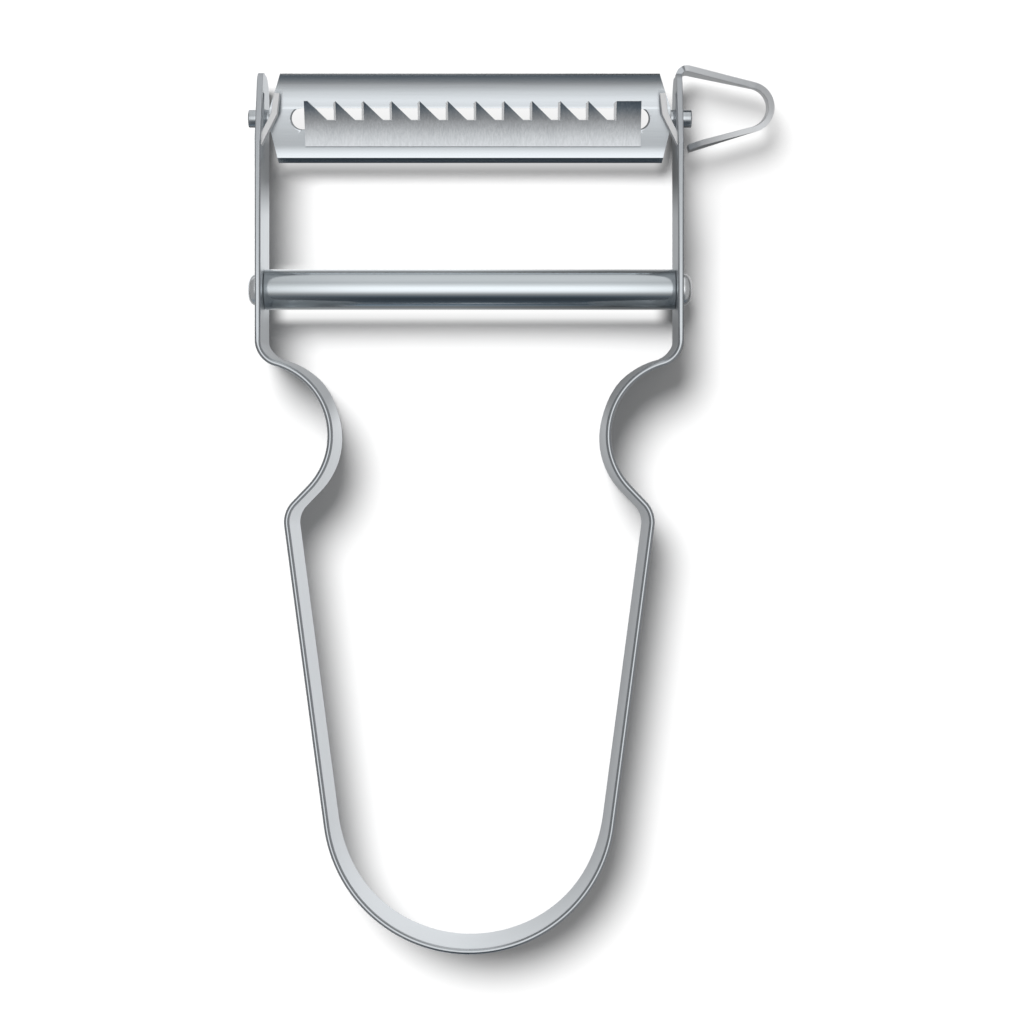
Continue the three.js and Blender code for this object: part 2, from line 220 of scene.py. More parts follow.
def smooth_by_angle(piece, angle=35 * DEG):
    """Shades a piece smooth, apart from the edges that turn more sharply than the angle."""
    piece.data.shade_smooth()
    piece.data.set_sharp_from_angle(angle=angle)


def thicken(piece, thickness, rim_offset):
    """Gives a drawn surface its thickness on both sides."""
    wall = piece.modifiers.new("Thickness", "SOLIDIFY")
    wall.thickness = thickness
    wall.offset = 0
    wall.use_even_offset = True
    wall.material_offset_rim = rim_offset
    bake_modifiers(piece, angle=40 * DEG)


def round_edges(piece, width):
    """Takes the sharpness off a sheet's edges."""
    rounding = piece.modifiers.new("Rounded edges", "BEVEL")
    rounding.width = width
    rounding.segments = 2
    rounding.profile = 0.5
    rounding.limit_method = "ANGLE"
    rounding.angle_limit = 30 * DEG


def bake_modifiers(piece, angle=15 * DEG):
    """Fixes the modifiers into the mesh, so that its sharp edges can be found."""
    graph = bpy.context.evaluated_depsgraph_get()
    mesh = bpy.data.meshes.new_from_object(piece.evaluated_get(graph))
    old = piece.data
    piece.modifiers.clear()
    piece.data = mesh
    bpy.data.meshes.remove(old)
    mesh.name = piece.name
    smooth_by_angle(piece, angle)


# Finishes


def steel_grain_group():
    """Fine grain drawn along one direction, with faint cloudy smudges."""
    group = bpy.data.node_groups.new("Steel grain", "ShaderNodeTree")
    socket = group.interface.new_socket
    socket("Place", in_out="INPUT", socket_type="NodeSocketVector")
    socket("Grain scale", in_out="INPUT", socket_type="NodeSocketFloat")
    socket("Cloud scale", in_out="INPUT", socket_type="NodeSocketFloat")
    socket("Dark steel", in_out="INPUT", socket_type="NodeSocketColor")
    socket("Light steel", in_out="INPUT", socket_type="NodeSocketColor")
    socket("Smooth", in_out="INPUT", socket_type="NodeSocketFloat")
    socket("Rough", in_out="INPUT", socket_type="NodeSocketFloat")
    socket("Colour", in_out="OUTPUT", socket_type="NodeSocketColor")
    socket("Roughness", in_out="OUTPUT", socket_type="NodeSocketFloat")
    socket("Height", in_out="OUTPUT", socket_type="NodeSocketFloat")
    nodes, links = group.nodes, group.links
    start = nodes.new("NodeGroupInput")
    end = nodes.new("NodeGroupOutput")
    grain = nodes.new("ShaderNodeTexNoise")
    grain.inputs["Detail"].default_value = 3
    grain.inputs["Roughness"].default_value = 0.65
    cloud = nodes.new("ShaderNodeTexNoise")
    cloud.inputs["Detail"].default_value = 4
    cloud.inputs["Roughness"].default_value = 0.55
    both = nodes.new("ShaderNodeMix")
    both.inputs["Factor"].default_value = 0.4
    tint = nodes.new("ShaderNodeMix")
    tint.data_type = "RGBA"
    spread = nodes.new("ShaderNodeMapRange")
    spread.inputs["From Min"].default_value = 0.32
    spread.inputs["From Max"].default_value = 0.68
    gloss = nodes.new("ShaderNodeMapRange")
    links.new(start.outputs["Place"], grain.inputs["Vector"])
    links.new(start.outputs["Grain scale"], grain.inputs["Scale"])
    links.new(start.outputs["Place"], cloud.inputs["Vector"])
    links.new(start.outputs["Cloud scale"], cloud.inputs["Scale"])
    links.new(grain.outputs["Fac"], both.inputs["A"])
    links.new(cloud.outputs["Fac"], both.inputs["B"])
    links.new(both.outputs["Result"], spread.inputs["Value"])
    links.new(spread.outputs["Result"], tint.inputs["Factor"])
    links.new(start.outputs["Dark steel"], tint.inputs["A"])
    links.new(start.outputs["Light steel"], tint.inputs["B"])
    links.new(spread.outputs["Result"], gloss.inputs["Value"])
    links.new(start.outputs["Smooth"], gloss.inputs["To Min"])
    links.new(start.outputs["Rough"], gloss.inputs["To Max"])
    links.new(tint.outputs["Result"], end.inputs["Colour"])
    links.new(gloss.outputs["Result"], end.inputs["Roughness"])
    links.new(grain.outputs["Fac"], end.inputs["Height"])
    return group


STEEL_GRAIN = steel_grain_group()
GRAIN_DEPTH = 0.02 * MM


def steel(name, dark, light, smooth, rough, stretch, grain, cloud, relief, metallic=1):
    """Steel whose grain is stretched along the piece."""
    material = bpy.data.materials.new(name)
    material.use_nodes = True
    nodes, links = material.node_tree.nodes, material.node_tree.links
    shader = nodes["Principled BSDF"]
    shader.inputs["Metallic"].default_value = metallic
    place = nodes.new("ShaderNodeTexCoord")
    lay = nodes.new("ShaderNodeMapping")
    lay.inputs["Scale"].default_value = stretch
    grain_node = nodes.new("ShaderNodeGroup")
    grain_node.node_tree = STEEL_GRAIN
    grain_node.inputs["Grain scale"].default_value = grain
    grain_node.inputs["Cloud scale"].default_value = cloud
    grain_node.inputs["Dark steel"].default_value = (*dark, 1)
    grain_node.inputs["Light steel"].default_value = (*light, 1)
    grain_node.inputs["Smooth"].default_value = smooth
    grain_node.inputs["Rough"].default_value = rough
    bump = nodes.new("ShaderNodeBump")
    bump.inputs["Strength"].default_value = relief
    bump.inputs["Distance"].default_value = GRAIN_DEPTH
    links.new(place.outputs["Object"], lay.inputs["Vector"])
    links.new(lay.outputs["Vector"], grain_node.inputs["Place"])
    links.new(grain_node.outputs["Colour"], shader.inputs["Base Color"])
    links.new(grain_node.outputs["Roughness"], shader.inputs["Roughness"])
    links.new(grain_node.outputs["Height"], bump.inputs["Height"])
    links.new(bump.outputs["Normal"], shader.inputs["Normal"])
    return material


STRIP_FACE = steel(
    "Strip face", dark=(0.585, 0.62, 0.65), light=(0.635, 0.67, 0.70), smooth=0.34, rough=0.44,
    stretch=(1, 1, 26), grain=260, cloud=34, relief=0.2,
)
STRIP_RIM = steel(
    "Strip edge", dark=(0.44, 0.465, 0.49), light=(0.49, 0.515, 0.54), smooth=0.12, rough=0.2,
    stretch=(1, 1, 1), grain=900, cloud=120, relief=0.15,
)
SHEARED = steel(
    "Sheared edge", dark=(0.53, 0.56, 0.59), light=(0.60, 0.63, 0.66), smooth=0.34, rough=0.46,
    stretch=(1, 1, 1), grain=1500, cloud=240, relief=0.3,
)
# The tongues' near-white steel is painted light: a brighter copy of the strip's steel that stands in for the bright
# sky they catch.
TONGUE_PAINTED_BRIGHT = steel(
    "Tongue steel painted bright", dark=(0.93, 0.935, 0.945), light=(0.98, 0.985, 0.99), smooth=0.46, rough=0.58,
    stretch=(1, 1, 1), grain=1200, cloud=240, relief=0.2,
)
LOOP_STEEL = steel(
    "Bright loop", dark=(0.79, 0.81, 0.83), light=(0.85, 0.87, 0.89), smooth=0.34, rough=0.46,
    stretch=(1, 1, 1), grain=1500, cloud=240, relief=0.2,
)
BAR_STEEL = steel(
    "Polished bar", dark=(0.59, 0.635, 0.665), light=(0.62, 0.665, 0.695), smooth=0.1, rough=0.16,
    stretch=(0.04, 1, 1), grain=1600, cloud=300, relief=0.1,
)
# The peened heads' near-white steel is painted light, standing in for a light from the left.
RIVET_PAINTED_BRIGHT = steel(
    "Peened rivet painted bright", dark=(0.86, 0.885, 0.91), light=(0.93, 0.95, 0.97), smooth=0.2, rough=0.3,
    stretch=(1, 1, 1), grain=900, cloud=260, relief=0.2,
)
PIN_STEEL = steel(
    "Turned pin", dark=(0.54, 0.575, 0.605), light=(0.64, 0.675, 0.705), smooth=0.12, rough=0.22,
    stretch=(1, 0.05, 0.05), grain=3000, cloud=300, relief=0.25,
)
BLADE_STEEL = steel(
    "Blade face", dark=(0.60, 0.635, 0.665), light=(0.64, 0.675, 0.705), smooth=0.15, rough=0.22,
    stretch=(0.03, 1, 1), grain=2400, cloud=260, relief=0.1,
)
BLADE_RIM = steel(
    "Ground edge", dark=(0.56, 0.60, 0.63), light=(0.60, 0.64, 0.67), smooth=0.1, rough=0.14,
    stretch=(0.02, 1, 1), grain=2600, cloud=300, relief=0.03,
)
# The sheared sides' near-black steel is painted shade, standing in for the dark floor and room they mirror.
BLADE_SIDE_PAINTED_SHADE = steel(
    "Sheared blade side painted dark", dark=(0.10, 0.115, 0.13), light=(0.18, 0.2, 0.22), smooth=0.2, rough=0.34,
    stretch=(1, 1, 0.1), grain=4200, cloud=400, relief=0.2,
)
COMB_STEEL = steel(
    "Brushed comb", dark=(0.59, 0.615, 0.64), light=(0.73, 0.755, 0.78), smooth=0.1, rough=0.2,
    stretch=(1, 0.012, 1), grain=5200, cloud=260, relief=0.15,
)
COMB_RIM = steel(
    "Ground tooth", dark=(0.80, 0.81, 0.82), light=(0.90, 0.91, 0.92), smooth=0.4, rough=0.5,
    stretch=(0.1, 1, 1), grain=4200, cloud=300, relief=0.1, metallic=0.3,
)
# The comb's sheared sides are painted shade: their dark steel stands in for the shadow line under the comb and the
# shade beside the teeth.
COMB_SIDE_PAINTED_SHADE = steel(
    "Sheared tooth painted dark", dark=(0.16, 0.175, 0.19), light=(0.24, 0.26, 0.28), smooth=0.2, rough=0.34,
    stretch=(1, 1, 0.1), grain=4200, cloud=400, relief=0.2,
)


# Bow


def ease(value, start, end):
    """Rises smoothly from 0 at the start to 1 at the end."""
    t = min(1, max(0, (value - start) / (end - start)))
    return t * t * (3 - 2 * t)


def bow_half_strip(bm):
    """Draws the right half of the strip's middle line and raises it to the strip's width."""
    finger_centre = Vector((ARM_OUTER, FINGER_Y, 0))
    arm_bend_x = ARM_X - ARM_BEND_RADIUS
    arm_bend_rise = math.sqrt((FINGER_RADIUS + ARM_BEND_RADIUS) ** 2 - (ARM_OUTER - arm_bend_x) ** 2)
    arm_centre = Vector((arm_bend_x, FINGER_Y + arm_bend_rise, 0))
    bottom_centre = Vector((0, BOTTOM_RADIUS, 0))
    finger_foot_angle = math.pi + SHOULDER_SLOPE
    foot = finger_centre + FINGER_RADIUS * Vector((math.cos(finger_foot_angle), math.sin(finger_foot_angle), 0))
    shoulder = Vector((SHOULDER_X, foot.y - (SHOULDER_X - foot.x) / math.tan(SHOULDER_SLOPE), 0))
    reach = shoulder - bottom_centre
    side_angle = math.atan2(reach.y, reach.x) - math.acos(BOTTOM_RADIUS / reach.length)
    turn = SHOULDER_SLOPE - side_angle
    side_way = Vector((-math.sin(side_angle), math.cos(side_angle), 0))
    side_left = Vector((-math.cos(side_angle), -math.sin(side_angle), 0))
    shoulder_start = shoulder - side_way * SHOULDER_RADIUS * math.tan(turn / 2)
    shoulder_centre = shoulder_start + side_left * SHOULDER_RADIUS
    to_arm = arm_centre - finger_centre
    arm_angle = math.atan2(to_arm.y, to_arm.x)

    tip = bm.verts.new((0, 0, 0))
    tip = draw_arc(bm, tip, bottom_centre, Z_AXIS, math.pi / 2 + side_angle, 2 * DEG)
    tip = draw_line(bm, tip, shoulder_start)
    tip = draw_arc(bm, tip, shoulder_centre, Z_AXIS, turn)
    tip = draw_line(bm, tip, foot)
    tip = draw_arc(bm, tip, finger_centre, Z_AXIS, arm_angle - finger_foot_angle, 3 * DEG)
    tip = draw_arc(bm, tip, arm_centre, Z_AXIS, math.pi - arm_angle)
    draw_line(bm, tip, (ARM_X, ARM_FOOT_Y, 0))
    raised = bmesh.ops.extrude_edge_only(bm, edges=bm.edges[:])["geom"]
    verts = [item for item in raised if isinstance(item, bmesh.types.BMVert)]
    bmesh.ops.translate(bm, verts=verts, vec=(0, 0, STRIP_WIDTH))
    for vertex in set(bm.verts) - set(verts):
        y = vertex.co.y
        vertex.co.x -= HANDLE_LEAN * ease(y, *HANDLE_LEAN_COMES) * (1 - ease(y, *HANDLE_LEAN_GOES))
        vertex.co.y += WAIST_LEAN * ease(y, *WAIST_LEAN_COMES) * (1 - ease(y, *WAIST_LEAN_GOES))


def ear_front(y):
    """Height of the ear's tapered front at a place along the ear."""
    return STRIP_WIDTH - (y - EAR_TAPER_Y) * math.tan(EAR_TAPER)


def tongue_limits(y, slit):
    """Back and front of the tongue's band at a place along the ear."""
    setback = ear_front(PIVOT_Y) - (PIVOT_Z + PIN_HOLE_RADIUS + TONGUE_WALL)
    return ear_front(y) - setback + slit, ear_front(y) - TONGUE_RIM - slit


def draw_loop(bm, places):
    """Draws a closed wire through the places."""
    first = bm.verts.new(places[0])
    tip = first
    for place in places[1:]:
        tip = draw_line(bm, tip, place)
    bm.edges.new((tip, first))


def draw_hole(bm, radius, x, y, z):
    """Draws a hole's rim, facing along X."""
    turn = Matrix.Rotation(math.pi / 2, 4, "Y")
    bmesh.ops.create_circle(bm, segments=HOLE_SEGMENTS, radius=radius, matrix=Matrix.Translation((x, y, z)) @ turn)


def ear_plate(side):
    """One arm's flat upper end: its outline, rivet hole, pin hole and tongue window, filled to a sheet."""
    bm = bmesh.new()
    x = side * ARM_X
    front_corner = ear_front(EAR_TIP)
    front_turn = math.pi / 2 - EAR_TAPER
    front_z = front_corner - EAR_FRONT_RADIUS * math.tan(front_turn / 2)
    back_centre = Vector((x, EAR_TIP - EAR_BACK_RADIUS, EAR_BACK_RADIUS))
    front_centre = Vector((x, EAR_TIP - EAR_FRONT_RADIUS, front_z))
    start = bm.verts.new((x, ARM_FOOT_Y, 0))
    tip = draw_line(bm, start, (x, back_centre.y, 0))
    if side < 0:
        tip = draw_arc(bm, tip, back_centre, X_AXIS, math.pi / 2, 6 * DEG)
        tip = draw_line(bm, tip, (x, EAR_TIP, front_z))
        tip = draw_arc(bm, tip, front_centre, X_AXIS, front_turn, 6 * DEG)
    else:
        back_z = LOOP_BACK - LOOP_RELIEF
        front_stop_z = LOOP_FRONT + LOOP_RELIEF
        back_stop = math.asin((back_z - back_centre.z) / EAR_BACK_RADIUS)
        front_stop = math.asin((front_stop_z - front_centre.z) / EAR_FRONT_RADIUS)
        tip = draw_arc(bm, tip, back_centre, X_AXIS, math.pi / 2 + back_stop, 6 * DEG)
        for z in (back_z, LOOP_BACK, LOOP_FRONT, front_stop_z):
            tip = draw_line(bm, tip, (x, LOOP_ROOT, z))
        front_y = front_centre.y + EAR_FRONT_RADIUS * math.cos(front_stop)
        tip = draw_line(bm, tip, (x, front_y, front_stop_z))
        tip = draw_arc(bm, tip, front_centre, X_AXIS, front_turn - front_stop, 6 * DEG)
    tip = draw_line(bm, tip, (x, EAR_TAPER_Y, STRIP_WIDTH))
    tip = draw_line(bm, tip, (x, ARM_FOOT_Y, STRIP_WIDTH))
    bm.edges.new((tip, start))
    root_back, root_front = tongue_limits(TONGUE_ROOT, 0)
    tongue_back, tongue_front = tongue_limits(TONGUE_ROOT, TONGUE_SLIT)
    window_top = TONGUE_TOP + TONGUE_SLIT
    top_back, top_front = tongue_limits(window_top, 0)
    draw_loop(bm, [
        (x, TONGUE_ROOT, root_back),
        (x, TONGUE_ROOT, tongue_back),
        (x, TONGUE_ROOT, tongue_front),
        (x, TONGUE_ROOT, root_front),
        (x, window_top, top_front),
        (x, window_top, top_back),
    ])
    draw_hole(bm, PIN_HOLE_RADIUS, x, PIVOT_Y, PIVOT_Z)
    draw_hole(bm, RIVET_HOLE_RADIUS, x, CROSSBAR_Y, CROSSBAR_Z)
    bmesh.ops.triangle_fill(bm, use_beauty=True, use_dissolve=False, edges=bm.edges[:], normal=X_AXIS)
    return bm


def stop_tongue(bm, side):
    """Sheet of the tongue that is pushed inwards out of the ear's window."""
    back, front = tongue_limits(TONGUE_ROOT, TONGUE_SLIT)
    first = bm.verts.new((side * ARM_X, TONGUE_ROOT, back))
    second = bm.verts.new((side * ARM_X, TONGUE_ROOT, front))
    edge = bm.edges.new((first, second))
    known = set(bm.verts)
    outer_centre = (side * (ARM_X - TONGUE_RADIUS), TONGUE_ROOT, 0)
    edge = bend_edge(bm, edge, outer_centre, Z_AXIS, side * TONGUE_SLOPE)
    bend_set = TONGUE_RADIUS * (1 - 2 * math.cos(TONGUE_SLOPE) + math.cos(TONGUE_LEAN))
    slope_run = (TONGUE_SET - bend_set) / math.sin(TONGUE_SLOPE)
    way = Vector((-side * math.sin(TONGUE_SLOPE), math.cos(TONGUE_SLOPE), 0))
    edge = sweep_edge(bm, edge, way * slope_run)
    outward = Vector((side * math.cos(TONGUE_SLOPE), math.sin(TONGUE_SLOPE), 0))
    inner_centre = edge.verts[0].co + TONGUE_RADIUS * outward
    edge = bend_edge(bm, edge, inner_centre, Z_AXIS, side * (TONGUE_LEAN - TONGUE_SLOPE))
    leg = TONGUE_TOP - edge.verts[0].co.y
    sweep_edge(bm, edge, Vector((-side * leg * math.tan(TONGUE_LEAN), leg, 0)))
    for vertex in set(bm.verts) - known:
        vertex.co.z -= (vertex.co.y - TONGUE_ROOT) * math.tan(EAR_TAPER)


def eye_loop(bm):
    """Sheet of the loop that is bent over the right ear's top, out, round and back."""
    back_corner = bm.verts.new((ARM_X, LOOP_ROOT, LOOP_BACK))
    front_corner = bm.verts.new((ARM_X, LOOP_ROOT, LOOP_FRONT))
    edge = bm.edges.new((back_corner, front_corner))
    known = set(bm.verts)
    leaving = math.pi / 2 - LOOP_LEG_SLOPE
    root_centre = (ARM_X + LOOP_ROOT_RADIUS, LOOP_ROOT, 0)
    edge = bend_edge(bm, edge, root_centre, Z_AXIS, leaving - math.pi)
    leg = LOOP_LEG * Vector((math.cos(LOOP_LEG_SLOPE), -math.sin(LOOP_LEG_SLOPE), 0))
    edge = sweep_edge(bm, edge, leg)
    bend_centre = edge.verts[0].co - LOOP_RADIUS * Vector((math.cos(leaving), math.sin(leaving), 0))
    edge = bend_edge(bm, edge, bend_centre, Z_AXIS, -2 * leaving, 5 * DEG)
    back = Vector((-leg.x, leg.y, 0))
    edge = sweep_edge(bm, edge, back * (1 - LOOP_TIP / LOOP_LEG))
    edge = sweep_edge(bm, edge, back * (LOOP_TIP / LOOP_LEG))
    max(edge.verts, key=lambda v: v.co.z).co.z -= LOOP_TIP_DROP
    for vertex in set(bm.verts) - known:
        lean = math.tan(LOOP_LEAN) * ease(vertex.co.x, *LOOP_LEAN_COMES)
        vertex.co.y += lean * (LOOP_FRONT - vertex.co.z)


def finish_bow(piece):
    """Rolls the strip's long edges round, leaves the sheared edges crisp, and sorts their finishes."""
    mesh = piece.data
    near = 0.05 * MM
    for vertex in mesh.vertices:
        inward = (LOOP_MIDDLE - vertex.co).xy.dot(vertex.normal.xy) > 0
        if vertex.co.x > LOOP_START_X and vertex.co.z > LOOP_FRONT - near and inward:
            vertex.co.z -= LOOP_GRIND
        elif vertex.co.y < EAR_TAPER_Y + near:
            for edge_z in (0, STRIP_WIDTH):
                if abs(vertex.co.z - edge_z) < near:
                    vertex.co.z = edge_z
    rim, sheared, tongue, loop = range(1, 5)
    for face in mesh.polygons:
        x, y = face.center.x, face.center.y
        if y > TONGUE_ROOT and abs(x) < ARM_INNER - near:
            face.material_index = tongue
        elif x > LOOP_START_X:
            face.material_index = loop
        elif y > EAR_TAPER_Y and face.material_index == rim:
            face.material_index = sheared
    bm = bmesh.new()
    bm.from_mesh(mesh)
    weight = bm.edges.layers.float.new("bevel_weight_edge")
    for edge in bm.edges:
        if edge.calc_face_angle(0) < 50 * DEG:
            continue
        rolled = all(
            v.co.y < EAR_TAPER_Y + near and min(v.co.z, STRIP_WIDTH - v.co.z) < WELD for v in edge.verts
        )
        edge[weight] = 1 if rolled else SHEARED_EDGE / STRIP_EDGE
    bm.to_mesh(mesh)
    bm.free()
    rounding = piece.modifiers.new("Rolled edges", "BEVEL")
    rounding.width = STRIP_EDGE
    rounding.segments = 5
    rounding.profile = 0.5
    rounding.limit_method = "WEIGHT"
    rounding.use_clamp_overlap = False
    rounding.harden_normals = True


def make_bow():
    """Strip, ears, tongues and loop, joined as one sheet and thickened."""
    bm = bmesh.new()
    bow_half_strip(bm)
    bmesh.ops.mirror(bm, geom=bm.verts[:] + bm.edges[:] + bm.faces[:], axis="X", merge_dist=WELD)
    for side in (-1, 1):
        plate = ear_plate(side)
        sheet = bpy.data.meshes.new("ear")
        plate.to_mesh(sheet)
        plate.free()
        bm.from_mesh(sheet)
        bpy.data.meshes.remove(sheet)
        stop_tongue(bm, side)
    eye_loop(bm)
    bmesh.ops.remove_doubles(bm, verts=bm.verts[:], dist=WELD)
    bmesh.ops.recalc_face_normals(bm, faces=bm.faces[:])
    piece = make_object("bow", bm, [STRIP_FACE, STRIP_RIM, SHEARED, TONGUE_PAINTED_BRIGHT, LOOP_STEEL])
    thicken(piece, STRIP_THICKNESS, rim_offset=1)
    finish_bow(piece)
    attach(piece, "bow")
    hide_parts("frame_bow")


# Turned pieces


def spin_profile(bm, places, y, z, steps):
    """Turns a wire of (radius, x) places about the line along X through y and z."""
    first = bm.verts.new((places[0][1], y + places[0][0], z))
    tip = first
    for radius, x in places[1:]:
        tip = draw_line(bm, tip, (x, y + radius, z))
    geom = bm.verts[:] + bm.edges[:]
    bmesh.ops.spin(bm, geom=geom, cent=(0, y, z), axis=X_AXIS, angle=2 * math.pi, steps=steps, use_merge=True)
    bmesh.ops.remove_doubles(bm, verts=bm.verts[:], dist=WELD)
    bmesh.ops.recalc_face_normals(bm, faces=bm.faces[:])


def round_corner(radius, x, size, way_in, way_out, steps=4):
    """Places of a small rounding at a corner of a turned outline."""
    places = []
    for i in range(steps + 1):
        t = i / steps
        in_part = size * (1 - t) ** 2
        out_part = size * t ** 2
        corner_radius = radius - way_in[0] * in_part + way_out[0] * out_part
        corner_x = x - way_in[1] * in_part + way_out[1] * out_part
        places.append((corner_radius, corner_x))
    return places


def make_crossbar_tube():
    """Round spacer between the arms."""
    half = ARM_INNER - FIT_GAP
    bm = bmesh.new()
    outline = [(TUBE_BORE, -half)]
    outline += round_corner(TUBE_RADIUS, -half, TUBE_CORNER, (1, 0), (0, 1))
    outline += round_corner(TUBE_RADIUS, half, TUBE_CORNER, (0, 1), (-1, 0))
    outline += [(TUBE_BORE, half), (TUBE_BORE, -half)]
    spin_profile(bm, outline, CROSSBAR_Y, CROSSBAR_Z, steps=96)
    piece = make_object("crossbar", bm, [BAR_STEEL])
    smooth_by_angle(piece)
    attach(piece, "bow")
    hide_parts("crossbar_tube")


def make_crossbar_rivet():
    """Rivet through the tube, with a full domed head outside each arm."""
    seat = ARM_OUTER + FIT_GAP
    steps = 16
    right = [(RIVET_RADIUS, seat), (RIVET_HEAD_RADIUS - RIVET_HEAD_LIP, seat)]
    for i in range(steps + 1):
        angle = math.pi / 2 * i / steps
        dome_radius = RIVET_HEAD_RADIUS * math.cos(angle) ** RIVET_HEAD_FULLNESS
        dome_height = RIVET_HEAD_HEIGHT * math.sin(angle) ** RIVET_HEAD_FULLNESS
        right.append((dome_radius, seat + dome_height))
    left = [(radius, -x) for radius, x in reversed(right)]
    bm = bmesh.new()
    spin_profile(bm, left + right, CROSSBAR_Y, CROSSBAR_Z, steps=64)
    piece = make_object("rivet", bm, [RIVET_PAINTED_BRIGHT])
    smooth_by_angle(piece)
    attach(piece, "bow")
    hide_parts("crossbar_rivet")


def make_pivot_pin(name, side):
    """Round stub with two prongs that hold the blade's neck between them."""
    shoulder = BLADE_HALF_LENGTH + FIT_GAP
    outer = ARM_OUTER + PIN_STANDS_OUT
    prong_end = BLADE_HALF_LENGTH - PRONG_REACH
    half_slot = BLADE_THICKNESS / 2 + FIT_GAP
    bm = bmesh.new()
    outline = [(0, shoulder), (PIN_RADIUS, shoulder)]
    outline += round_corner(PIN_RADIUS, outer, PIN_CORNER, (0, 1), (-1, 0))
    outline += [(0, outer)]
    spin_profile(bm, outline, 0, 0, steps=64)
    end_faces = [f for f in bm.faces if f.calc_center_median().x < shoulder + WELD]
    bmesh.ops.dissolve_faces(bm, faces=end_faces)
    for height in (-half_slot, half_slot):
        bmesh.ops.bisect_plane(
            bm,
            geom=[f for f in bm.faces if f.calc_center_median().x < shoulder + WELD],
            plane_co=(0, 0, height),
            plane_no=Z_AXIS,
        )
    prongs = [
        f for f in bm.faces
        if f.calc_center_median().x < shoulder + WELD and abs(f.calc_center_median().z) > half_slot
    ]
    for face in prongs:
        grown = bmesh.ops.extrude_face_region(bm, geom=[face])["geom"]
        verts = [item for item in grown if isinstance(item, bmesh.types.BMVert)]
        bmesh.ops.translate(bm, verts=verts, vec=(prong_end - shoulder, 0, 0))
        bmesh.ops.delete(bm, geom=[face], context="FACES_ONLY")
    if side < 0:
        bmesh.ops.scale(bm, vec=(-1, 1, 1), verts=bm.verts[:])
    tilt_into_place(bm)
    bmesh.ops.recalc_face_normals(bm, faces=bm.faces[:])
    piece = make_object(name, bm, [PIN_STEEL])
    smooth_by_angle(piece)
    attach(piece, "swivel")
    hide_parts("pivot_" + name)


# Blade and comb


def blade_slope(y):
    """Slope of the blade's sheet at a distance above the pivot line."""
    for (y0, angle0), (y1, angle1) in zip(BLADE_SECTION, BLADE_SECTION[1:]):
        if y <= y1 * MM or y1 == BLADE_SECTION[-1][0]:
            return math.tan((angle0 + (angle1 - angle0) * (y / MM - y0) / (y1 - y0)) * DEG)


def blade_height(y):
    """Lift of the blade's middle surface at a distance above the pivot line."""
    steps = 200
    return sum(blade_slope(y * (i + 0.5) / steps) for i in range(steps)) * y / steps


def comb_height(y):
    """Lift of the comb's curl at a distance above the pivot line."""
    rise = y - COMB_BOTTOM
    return rise ** 2 * (COMB_CURL / 2 + COMB_CURL_GAIN * rise / 3) - rise * math.tan(COMB_LEAN)


def tilt_into_place(bm):
    """Turns a piece from the blade's own plane to its tilt and moves it to the pivot."""
    bmesh.ops.rotate(bm, verts=bm.verts[:], cent=(0, 0, 0), matrix=Matrix.Rotation(BLADE_TILT, 3, "X"))
    bmesh.ops.translate(bm, verts=bm.verts[:], vec=(0, PIVOT_Y, PIVOT_Z))


def cut_rows(bm, rows):
    """Cuts a flat sheet along rows so that it can be bent."""
    for y in rows:
        bmesh.ops.bisect_plane(
            bm, geom=bm.verts[:] + bm.edges[:] + bm.faces[:], plane_co=(0, y, 0), plane_no=(0, 1, 0), dist=WELD,
        )


def roll_slot_ends(bm, slot_x):
    """Rounds the front edge of the slot's two ends, as the punch leaves it."""
    def on_roll(vertex):
        from_end = math.hypot(abs(vertex.co.x) - slot_x, vertex.co.y) - SLOT_HALF_HEIGHT
        on_rim = abs(from_end) < 0.02 * MM and abs(vertex.co.x) > slot_x
        return on_rim and vertex.co.y < SLOT_ROLL_TOP and vertex.co.z > blade_height(vertex.co.y)

    edges = [e for e in bm.edges if all(on_roll(v) for v in e.verts)]
    bmesh.ops.bevel(
        bm, geom=edges, offset=SLOT_ROLL, offset_type="OFFSET", segments=3, profile=0.5, affect="EDGES",
        material=-1, clamp_overlap=False,
    )


